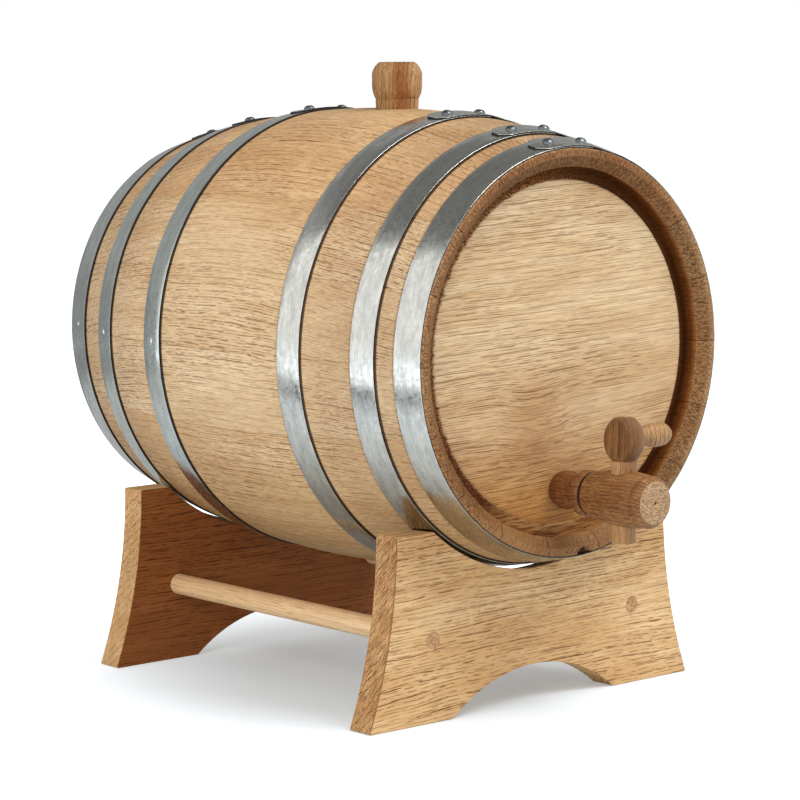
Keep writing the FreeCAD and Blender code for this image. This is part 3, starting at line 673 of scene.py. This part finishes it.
def rivet(hoop, side, seed):
    """The beaten head of a rivet, from its foot in the strip up."""
    turn = side * RIVET_SPACING / 2 / hoop.top
    middle = (hoop.inner + hoop.outer) / 2
    seat = Vector(hoop.at(middle, 2 * STRIP, turn))
    out = (Vector(hoop.at(middle, 2 * STRIP + 1, turn)) - seat).normalized()
    along = (Vector(hoop.at(middle + 1, 2 * STRIP, turn)) - seat).normalized()
    over = out.cross(along)
    rows = []
    for radius, height in ((1.0, -0.3), (1.0, RIVET_RIM * 0.5), (0.97, RIVET_RIM),
                           (0.86, 0.55 * RIVET_HEIGHT), (0.68, 0.82 * RIVET_HEIGHT),
                           (0.45, 0.96 * RIVET_HEIGHT), (0.2, RIVET_HEIGHT)):
        row = []
        for k in range(RIVET_CUTS):
            angle = 2 * math.pi * k / RIVET_CUTS
            way = over * math.cos(angle) + along * math.sin(angle)
            knock = noise.noise(way * 1.1 + Vector((seed * 3.1, height, seed)))
            row.append(seat + way * RIVET_RADIUS * radius * (1 + 0.05 * knock)
                       + out * (height - 0.22 * abs(knock) * max(0.0, height)))
        rows.append(row)
    return skin(rows)


rivet_finish = Finish("rivet_steel", Metallic=1.0)
knocks = rivet_finish.speckle(500.0, 3.0)
rivet_steel = rivet_finish.wear(rivet_finish.blend(knocks, dye(150, 154, 156), dye(96, 102, 106)),
                                rivet_finish.step(knocks, 0.3, 0.7, 0.25, 0.5), knocks, lift=0.0001)
for number, (name, (sign, set_back, width)) in enumerate(HOOPS.items()):
    for side in (-1, 1):
        made = piece("%s_rivet_%s" % (name, "left" if side < 0 else "right"),
                     rivet(Hoop(sign, set_back, width), side, 2.7 * number + side), "cask",
                     rivet_steel, "rivet_steel", crease=60)
        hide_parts("hoop_rivets")

# ---- ZINC DROPS ---------------------------------------------------------------------------------
# Three drops of zinc from the dipping have set on the left of the rear hoops. Each is a thin bright
# blister, part of its hoop.

# turn in degrees, radius, and how far the drop lies from the middle of the strip
DROPS = {"rear_bilge": (-89.7, 1.4, 0.2), "rear_quarter": (-89.2, 0.9, 0.5),
         "rear_chime": (-88.2, 0.8, -0.6)}
DROP_CUTS = 20


def drop(hoop, turn, size, aside):
    """A blot on the strip, wider round the cask than along it."""
    middle = (hoop.inner + hoop.outer) / 2 + aside
    rings = []
    for share, height in ((1.0, -0.15), (0.92, 0.10), (0.6, 0.26), (0.25, 0.34)):
        ring = []
        for k in range(DROP_CUTS):
            angle = 2 * math.pi * k / DROP_CUTS
            spread = noise.noise(Vector((math.cos(angle), math.sin(angle), turn * 40)))
            blot = size * share * (1 + 0.35 * spread)
            ring.append(hoop.at(middle + blot * 0.7 * math.cos(angle), STRIP - 0.03 + height,
                                turn + blot * 1.6 * math.sin(angle) / hoop.top))
        rings.append(ring)
    return skin(rings)


drop_finish = Finish("zinc_drop", Metallic=1.0)
pitting = drop_finish.speckle(900.0, 2.0)
drop_zinc = drop_finish.wear(drop_finish.blend(pitting, dye(246, 246, 244), dye(216, 218, 216)),
                             drop_finish.step(pitting, 0.3, 0.7, 0.15, 0.3), pitting, lift=0.0001)
for name, (turn, size, aside) in DROPS.items():
    piece(name + "_zinc_drop", drop(Hoop(*HOOPS[name]), math.radians(turn), size, aside), "cask", drop_zinc,
          "hoop_steel", name + "_hoop", crease=60)

# ---- BUNG ---------------------------------------------------------------------------------------
# A turned oak bung closes the filling hole. Its grain stands upright, its belly swells under a flat
# cap, and below a turned line the neck tapers into the hole.

CASK_TOP = CASK_HEIGHT + BILGE_RADIUS
BUNG_TOP = CASK_TOP + 22.3
BUNG_LINE = BUNG_TOP - 18.0
BUNG_BELLY = 12.25
BUNG_FOOT = CASK_TOP - 22.0
BUNG_AHEAD = 10.2
BUNG_PLACE = (0, CASK_MIDDLE - BUNG_AHEAD, 0)
BUNGHOLE_TOP = CASK_TOP + 4.0
BUNGHOLE_FOOT = BUNGHOLE_TOP - 60.0
HEART_OFF = 8.0


def turned(outline, place, axis, soft=0.5, steps=72):
    """A lathe-turned piece: (distance along the axis, radius) points, with its corners eased."""
    curve = [outline[0]]
    for before, here, after in zip(outline, outline[1:], outline[2:]):
        a, p, b = Vector(before), Vector(here), Vector(after)
        ease = min(soft, (a - p).length / 2.1, (b - p).length / 2.1)
        one, two = p + (a - p).normalized() * ease, p + (b - p).normalized() * ease
        for t in (0.0, 0.33, 0.67, 1.0):
            curve.append(tuple(one * (1 - t) ** 2 + p * 2 * t * (1 - t) + two * t ** 2))
    curve.append(outline[-1])
    forward = Vector(axis).normalized()
    over = forward.orthogonal().normalized()
    other = forward.cross(over)
    rows = []
    for distance, radius in curve:
        rows.append([Vector(place) + forward * distance
                     + (over * math.cos(a) + other * math.sin(a)) * max(radius, 0.05)
                     for a in (2 * math.pi * k / steps for k in range(steps))])
    return skin(rows)


def swelling(first, second, bulge, steps=8):
    """Points of a turned curve from one (distance, radius) point to another, standing out by `bulge`."""
    a, b = Vector(first), Vector(second)
    out = Vector((a.y - b.y, b.x - a.x)).normalized()
    if out.y < 0:
        out = -out
    shares = [k / steps for k in range(1, steps)]
    return [first, *(tuple(a + (b - a) * t + out * bulge * 4 * t * (1 - t)) for t in shares), second]


def drill(made, shape):
    """Cuts a hole in a piece where `shape` passes through it."""
    bit = shell("bit", shape)
    hole = made.modifiers.new("hole", "BOOLEAN")
    hole.operation = "DIFFERENCE"
    hole.solver = "EXACT"
    hole.object = bit
    ready = made.evaluated_get(bpy.context.evaluated_depsgraph_get())
    mesh = bpy.data.meshes.new_from_object(ready)
    made.modifiers.clear()
    made.data = mesh
    mesh.shade_smooth()
    mesh.set_sharp_from_angle(angle=math.radians(CREASE))
    bpy.data.objects.remove(bit)


bung_outline = [(BUNG_TOP, 0.05), (BUNG_TOP, 8.8), (BUNG_TOP - 2.3, 10.9), (BUNG_TOP - 5.0, BUNG_BELLY),
                *swelling((BUNG_TOP - 12.0, BUNG_BELLY), (BUNG_LINE + 0.3, 10.6), 0.3, 4),
                (BUNG_LINE, 10.3), (BUNG_LINE - 0.3, 10.55), (BUNG_FOOT, 9.2), (BUNG_FOOT, 0.05)]
bung_finish = Finish("bung_wood", Roughness=0.5, Specular_IOR_Level=0.2)
x, y, z = bung_finish.place()
tone, height = oak(bung_finish, x, z, y, dye(234, 193, 141), dye(190, 144, 94), dye(88, 52, 25),
                   ring=1.9, slant=-41.0, seed=11.0, dash=110.0)
across = bung_finish.slanting(x, 0.75, y, -0.66)
from_heart = bung_finish.do("ABSOLUTE", bung_finish.do("ADD", across, HEART_OFF / 1000))
tone = bung_finish.dyed(tone, dye(206, 158, 108), bung_finish.change(from_heart, 1.5, 5.5, 0.75, 0.0))
tone = bung_finish.dyed(tone, dye(214, 206, 196), bung_finish.change(across, -HEART_OFF, 0, 1.0, 0.0))
piece("turned_bung", turned(bung_outline, BUNG_PLACE, (0, 0, 1), soft=1.2), "bung",
      bung_finish.wear(tone, None, height), "bung_wood", "bung")
drill(bpy.data.objects["oak_bung_stave"],
      turned([(BUNGHOLE_TOP, 0.05), (BUNGHOLE_TOP, 10.9), (BUNGHOLE_FOOT, 7.2), (BUNGHOLE_FOOT, 0.05)],
             BUNG_PLACE, (0, 0, 1)))

# ---- TAP ----------------------------------------------------------------------------------------
# The tap is one piece of darker oak, turned along the grain: collar, waist, bead and barrel. It is
# bored through from the cask to the key and driven into the head.

TAP_HEIGHT = 103.7
HEAD_FRONT = CASK_MIDDLE - HEAD_FACE
TAP_PLACE = (0, HEAD_FRONT, TAP_HEIGHT)
KEY_AHEAD = 40.6
KEY_PLACE = (0, HEAD_FRONT - KEY_AHEAD, 0)
COLLAR = 8.9
WAIST = 7.9
BEAD = 10.7
NOSE = 60.8
tap_outline = [(-6.0, 0.05), (-6.0, 7.7), (0, WAIST), (2.2, COLLAR), (6.1, COLLAR), (10.1, WAIST),
               (14.2, WAIST), (14.9, 9.9), (16.0, BEAD), (19.8, BEAD), (20.5, 10.2), (20.9, 8.9), (22.0, 8.9),
               *swelling((22.4, 10.5), (53.2, 12.3), 1.4), (53.9, 11.3), (55.0, 11.3), (55.8, 12.0),
               (57.6, 12.0), (60.3, 10.1), (NOSE, 9.3), (NOSE, 1.0), (NOSE - 1.5, 0.3), (NOSE - 1.6, 0.05)]
tap_finish = Finish("tap_wood", Roughness=0.48, Specular_IOR_Level=0.25)
x, y, z = tap_finish.place()
tone, height = oak(tap_finish, x, y, z, dye(172, 121, 73), dye(118, 72, 36), dye(42, 20, 8),
                   ring=1.5, slant=72.0, seed=17.0, deep=0.7, dash=170.0)
spots = tap_finish.step(tap_finish.speckle(2000.0, 2.0), 0.36, 0.64)
end_grain = tap_finish.blend(spots, dye(212, 174, 134), dye(134, 98, 66))
nose = tap_finish.change(y, HEAD_FRONT - NOSE + 0.2, HEAD_FRONT - NOSE + 0.6, 1.0, 0.0)
tone = tap_finish.blend(nose, tone, end_grain)
# painted shade in the groove between the bead and the barrel
groove = tap_finish.times(tap_finish.change(y, HEAD_FRONT - 22.8, HEAD_FRONT - 22.3),
                          tap_finish.change(y, HEAD_FRONT - 20.8, HEAD_FRONT - 20.3, 0.85, 0.0))
tone = tap_finish.blend(groove, tone, dye(34, 16, 8))
# painted shade darkens the tap where it meets the head
painted_shade_near_head = tap_finish.change(y, HEAD_FRONT - 24.0, HEAD_FRONT - 14.0, 0.0, 0.5)
tone = tap_finish.dyed(tone, dye(176, 118, 66), painted_shade_near_head)
tap = piece("turned_tap", turned(tap_outline, TAP_PLACE, (0, -1, 0), soft=0.45), "cask",
            tap_finish.wear(tone, None, height), "tap_wood", "tap_body")
drill(tap, turned([(TAP_HEIGHT + 30, 0.05), (TAP_HEIGHT + 30, 6.3), (TAP_HEIGHT - 30, 5.5),
                   (TAP_HEIGHT - 30, 0.05)], KEY_PLACE, (0, 0, 1)))
drill(bpy.data.objects["front_bottom_oak"],
      turned([(-10.0, 0.05), (-10.0, 8.0), (30.0, 7.5), (30.0, 0.05)], TAP_PLACE, (0, 1, 0)))

# ---- KEY ----------------------------------------------------------------------------------------
# A turned key stands upright through the tap and turns in it. Its knob has one flat side, and the
# stem's foot shows under the barrel with the spout bored up its middle.

BARREL_RADIUS = 12.8
KEY_TOP = TAP_HEIGHT + BARREL_RADIUS
KEY_FOOT = TAP_HEIGHT - BARREL_RADIUS - 7.4
SPOUT_RADIUS = 3.5
SPOUT_TOP = KEY_FOOT + 24.0
KNOB_FOOT = KEY_TOP + 5.0
KNOB_TOP = KNOB_FOOT + 19.2
KNOB_MIDDLE = KNOB_FOOT + 8.9
KNOB_ARC = 13.14
KNOB_ARC_OFF = 3.68
KNOB_FLAT = 5.0
knob = [(KNOB_MIDDLE - KNOB_ARC * math.cos(a), KNOB_ARC * math.sin(a) - KNOB_ARC_OFF)
        for a in (math.radians(t) for t in range(54, 137, 6))]
key_outline = [(SPOUT_TOP, 0.05), (SPOUT_TOP, SPOUT_RADIUS), (KEY_FOOT, SPOUT_RADIUS), (KEY_FOOT, 5.55),
               (KNOB_FOOT - 0.7, 5.9), (KNOB_FOOT - 0.35, 5.6), (KNOB_FOOT, 6.0), *knob,
               (KNOB_TOP - 0.7, 5.3), (KNOB_TOP, 4.6), (KNOB_TOP, 0.05)]
key_finish = Finish("key_wood", Roughness=0.48, Specular_IOR_Level=0.25)
x, y, z = key_finish.place()
tone, height = oak(key_finish, x, z, y, dye(146, 102, 62), dye(104, 65, 35), dye(40, 20, 8),
                   ring=2.0, slant=-25.0, seed=23.0, deep=0.7, dash=120.0)
# the stem and the handle are paler than the knob, and the knob is paler on the handle's side, a painted
# highlight
pale = oak(key_finish, x, z, y, dye(202, 157, 108), dye(152, 105, 64), dye(72, 40, 18),
           ring=2.4, slant=-35.0, seed=29.0, deep=0.7, dash=120.0)[0]
off_knob = key_finish.most(key_finish.change(z, KNOB_FOOT - 0.6, KNOB_FOOT - 0.2, 1.0, 0.0),
                           key_finish.change(x, 8.5, 9.5))
tone = key_finish.blend(key_finish.change(x, -5.8, 6.0, 0.0, 0.6), tone, pale)
tone = key_finish.blend(off_knob, tone, pale)
key_wood = key_finish.wear(tone, None, height)
key = piece("turned_key", turned(key_outline, KEY_PLACE, (0, 0, 1), soft=0.5), "key", key_wood, "key_wood",
            "tap_key")
flat = [(-30, -20), (-KNOB_FLAT, -20), (-KNOB_FLAT, 20), (-30, 20)]
drill(key, skin([[(across, KEY_PLACE[1] + along, height) for across, along in flat]
                 for height in (KNOB_FOOT, KNOB_TOP + 5)]))

# ---- HANDLE -------------------------------------------------------------------------------------
# A short turned peg, glued into the side of the knob, is what the hand turns. It is made of the
# same wood as the key.

HANDLE_HEIGHT = KNOB_FOOT + 9.6
handle_outline = [(6.0, 0.05), (6.0, 4.1), (11.6, 4.1), *swelling((17.4, 5.6), (25.6, 5.1), 0.2, 4),
                  (29.1, 2.4), (29.1, 0.05)]
piece("turned_handle", turned(handle_outline, (0, KEY_PLACE[1], HANDLE_HEIGHT), (1, 0, 0), soft=1.0), "key",
      key_wood, "key_wood", "tap_key_handle")

# ---- STAND BOARDS -------------------------------------------------------------------------------
# Two oak boards, sawn to the same outline with the grain level, carry the cask on their horns. The
# sawn ends show speckled end grain, and the rear board's inner face is darker, partly its wood and
# partly painted shade under the cask.

BOARD_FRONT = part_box("front_stand_board")[0].y * 1000
REAR_BOARD_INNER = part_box("rear_stand_board")[0].y * 1000
stand_finish = Finish("stand_oak", Roughness=0.55, Specular_IOR_Level=0.2)
x, y, z = stand_finish.place()
tilted = stand_finish.do("ADD", z, stand_finish.times(x, -0.02))
tone, height = oak(stand_finish, tilted, x, y, dye(254, 217, 163), dye(217, 166, 108), dye(106, 60, 26),
                   ring=3.5, slant=40.0, seed=31.0, deep=0.95, dash=92.0, wander=1.2)
facing = stand_finish.node("SeparateXYZ", stand_finish.node("NewGeometry").outputs["Normal"]).outputs
sawn = stand_finish.step(stand_finish.do("ABSOLUTE", facing[0]), 0.45, 0.75)
lean = stand_finish.do("MULTIPLY_ADD", y, 1.3, z)
rays = stand_finish.streaks((lean, 900.0), (y, 130.0), detail=3.0, roughness=0.65)
steep = stand_finish.do("MULTIPLY_ADD", z, 500.0, stand_finish.times(y, 2200.0))
pores = stand_finish.cloud(stand_finish.point(stand_finish.times(z, 160.0), steep), 2.0, 0.6)
spots = stand_finish.step(stand_finish.do("ADD", rays, pores), 0.88, 1.16)
grainy = stand_finish.blend(spots, dye(232, 220, 208), dye(166, 147, 131))
tone = stand_finish.dyed(tone, grainy, stand_finish.times(sawn, stand_finish.change(y, -50, 100, 1.0, 0.5)))
corner = stand_finish.times(sawn, stand_finish.change(y, BOARD_FRONT + 0.35, BOARD_FRONT + 0.85, 0.6, 0.0))
tone = stand_finish.blend(corner, tone, dye(112, 66, 34))
# the rear board's inner face is darkened, partly its wood and partly painted shade under the cask
inner = stand_finish.times(stand_finish.change(y, REAR_BOARD_INNER + 0.15, REAR_BOARD_INNER + 0.55, 1.0, 0.0),
                           stand_finish.do("GREATER_THAN", y, 0.05))
tone = stand_finish.dyed(tone, dye(170, 126, 92), inner)
stand_oak = stand_finish.wear(tone, None, height)
for name in ("front_stand_board", "rear_stand_board"):
    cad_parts[name].material_slots[0].material = stand_oak

# ---- DOWELS -------------------------------------------------------------------------------------
# Two turned beech rails keep the boards apart. Their tenons go through and are cut flush outside,
# where the end grain shows darker than the board. The pins in the heads are of the same wood.

dowel_start, dowel_stop = (corner.y * 1000 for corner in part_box("left_stand_dowel"))
DOWEL_MIDDLE = (dowel_start + dowel_stop) / 2
DOWEL_HALF = (dowel_stop - dowel_start) / 2
dowel_finish = Finish("dowel_beech", Roughness=0.5, Specular_IOR_Level=0.2)
x, y, z = dowel_finish.place()
tone, height = oak(dowel_finish, x, y, z, dye(250, 216, 170), dye(226, 184, 134), dye(134, 88, 48),
                   ring=3.4, slant=60.0, seed=41.0, deep=0.6, dash=70.0)
flush = dowel_finish.change(dowel_finish.off(y, DOWEL_MIDDLE / 1000), DOWEL_HALF - 0.5, DOWEL_HALF - 0.1)
spots = dowel_finish.step(dowel_finish.speckle(1300.0, 2.0), 0.38, 0.62)
tone = dowel_finish.blend(flush, tone, dowel_finish.blend(spots, dye(214, 170, 122), dye(172, 128, 86)))
dowel_beech = dowel_finish.wear(tone, None, height)
for name in ("left_stand_dowel", "right_stand_dowel", "head_pins"):
    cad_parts[name].material_slots[0].material = dowel_beech

# ---- STUDIO -------------------------------------------------------------------------------------
# A white floor and surround, a large soft lamp overhead and a softer one at the left, grey cards
# that show only in reflections, and the camera, which stands ahead of the tap and to the left.

# the studio is laid out in metres
FLOOR_HALF = 6.0
FLOOR_GAP = 0.0002
floor_mesh = bpy.data.meshes.new("floor")
floor_mesh.from_pydata([(-FLOOR_HALF, -FLOOR_HALF, 0), (FLOOR_HALF, -FLOOR_HALF, 0),
                        (FLOOR_HALF, FLOOR_HALF, 0), (-FLOOR_HALF, FLOOR_HALF, 0)], [], [(0, 1, 2, 3)])
floor = bpy.data.objects.new("floor", floor_mesh)
bpy.context.scene.collection.objects.link(floor)
floor.location.z = -FLOOR_GAP
floor_finish = Finish("floor_white", Roughness=0.9, Specular_IOR_Level=0.0)
floor_finish.surface.inputs["Base Color"].default_value = (0.75, 0.81, 0.86, 1.0)
glow = floor_finish.node("Emission", (0.94, 0.98, 1.0, 1.0))
sight = floor_finish.node("LightPath")
# seen directly, the floor glows up to white away from the cask, and keeps the shadow near it; in reflections
# it glows far from the cask
outward = floor_finish.node("VectorMath", floor_finish.spot(), operation="LENGTH").outputs["Value"]
seen = floor_finish.change(outward, 70, 250, 0.205, 0.85)
mirrored = floor_finish.change(outward, 600, 750, 0.0, 0.75)
fill = floor_finish.do("ADD", floor_finish.times(sight.outputs["Is Camera Ray"], seen),
                       floor_finish.times(sight.outputs["Is Glossy Ray"], mirrored))
floor_finish.feed(glow.inputs["Strength"], fill)
both = floor_finish.node("AddShader", floor_finish.surface.outputs[0], glow.outputs[0])
floor_finish.feed(floor_finish.tree.nodes["Material Output"].inputs["Surface"], both.outputs[0])
floor.data.materials.append(floor_finish.material)

world = bpy.data.worlds.new("surround")
bpy.context.scene.world = world
world.use_nodes = True
sky = world.node_tree
soft = sky.nodes["Background"]
soft.inputs["Color"].default_value = (1.0, 1.0, 1.0, 1.0)
soft.inputs["Strength"].default_value = 0.45
white = sky.nodes.new("ShaderNodeBackground")
white.inputs["Color"].default_value = (1.0, 1.0, 1.0, 1.0)
white.inputs["Strength"].default_value = 1.0
ray = sky.nodes.new("ShaderNodeLightPath")
white_share = ray.outputs["Is Camera Ray"]
for other in ("Is Glossy Ray", "Is Transmission Ray"):
    either = sky.nodes.new("ShaderNodeMath")
    either.operation = "MAXIMUM"
    sky.links.new(white_share, either.inputs[0])
    sky.links.new(ray.outputs[other], either.inputs[1])
    white_share = either.outputs[0]
choose = sky.nodes.new("ShaderNodeMixShader")
sky.links.new(white_share, choose.inputs[0])
sky.links.new(soft.outputs[0], choose.inputs[1])
sky.links.new(white.outputs[0], choose.inputs[2])
sky.links.new(choose.outputs[0], sky.nodes["World Output"].inputs["Surface"])


LAMP_AIM = Vector((0, 0, 0.15))


def lamp(name, place, size, power):
    """A square soft lamp that looks at the cask."""
    light = bpy.data.lights.new(name, "AREA")
    light.shape = "SQUARE"
    light.size = size
    light.energy = power
    made = bpy.data.objects.new(name, light)
    bpy.context.scene.collection.objects.link(made)
    made.location = place
    made.rotation_mode = "QUATERNION"
    made.rotation_quaternion = (LAMP_AIM - Vector(place)).to_track_quat("-Z", "Y")
    return made


lamp("right_front", (0.4, -0.9, 1.6), 1.1, 21)
lamp("left_side", (-1.7, -0.5, 0.7), 1.2, 18).visible_glossy = False


def card(name, corners, grey):
    """A grey sheet that glows, lights nothing and shows only in reflections, most of all in the hoops."""
    mesh = bpy.data.meshes.new(name)
    mesh.from_pydata(corners, [], [(0, 1, 2, 3)])
    made = bpy.data.objects.new(name, mesh)
    bpy.context.scene.collection.objects.link(made)
    made.visible_camera = made.visible_diffuse = made.visible_transmission = made.visible_shadow = False
    finish = Finish(name, Roughness=1.0, Specular_IOR_Level=0.0, Emission_Strength=1.0)
    finish.surface.inputs["Base Color"].default_value = (0.0, 0.0, 0.0, 1.0)
    finish.surface.inputs["Emission Color"].default_value = (grey, grey, grey, 1.0)
    mesh.materials.append(finish.material)


def lying(height, *corners):
    """Corners of a level card at one height."""
    return [(x, y, height) for x, y in corners]


def standing(low, high):
    """Corners of an upright card behind the cask, from one height to another."""
    left, right, back = -0.95, 2.5, 1.2
    return [(left, back, low), (right, back, low), (right, back, high), (left, back, high)]


# each card is a painted reflection: a grey glow standing for that part of a darker studio
card("ceiling", lying(1.9, (-1.5, -4), (4, -4), (4, 4), (-1.5, 4)), 0.18)
card("backdrop", standing(0.005, 0.37), 0.27)
card("backdrop_top", standing(0.37, 1.6), 0.34)
card("table_edge", lying(0.001, (-0.62, -0.35), (-0.42, -0.35), (-0.42, 0.6), (-0.62, 0.6)), 0.16)
card("floor_behind", lying(0.001, (-0.30, 0.3), (2.5, 0.3), (2.5, 0.62), (-0.48, 0.62)), 0.50)
card("floor_far", lying(0.001, (-0.48, 0.62), (2.5, 0.62), (2.5, 1.2), (-0.80, 1.2)), 0.26)

CAMERA_PLACE = (-0.916807, -1.036386, 0.300271)
CAMERA_YAW = 0.717288
CAMERA_PITCH = 0.117641
CAMERA_ROLL = -0.004533
FOCAL_PIXELS = 2849.14
RENDER_PIXELS = 800
SENSOR = 36.0
ahead = Vector((math.sin(CAMERA_YAW) * math.cos(CAMERA_PITCH),
                math.cos(CAMERA_YAW) * math.cos(CAMERA_PITCH), -math.sin(CAMERA_PITCH)))
right = Vector((math.cos(CAMERA_YAW), -math.sin(CAMERA_YAW), 0))
top = right.cross(ahead)
right, top = (right * math.cos(CAMERA_ROLL) + top * math.sin(CAMERA_ROLL),
              top * math.cos(CAMERA_ROLL) - right * math.sin(CAMERA_ROLL))
camera_data = bpy.data.cameras.new("camera")
camera_data.sensor_width = SENSOR
camera_data.lens = FOCAL_PIXELS * SENSOR / RENDER_PIXELS
camera = bpy.data.objects.new("camera", camera_data)
bpy.context.scene.collection.objects.link(camera)
camera.matrix_world = Matrix((right, top, -ahead)).transposed().to_4x4()
camera.location = CAMERA_PLACE
bpy.context.scene.camera = camera
bpy.context.scene.view_settings.view_transform = "Standard"
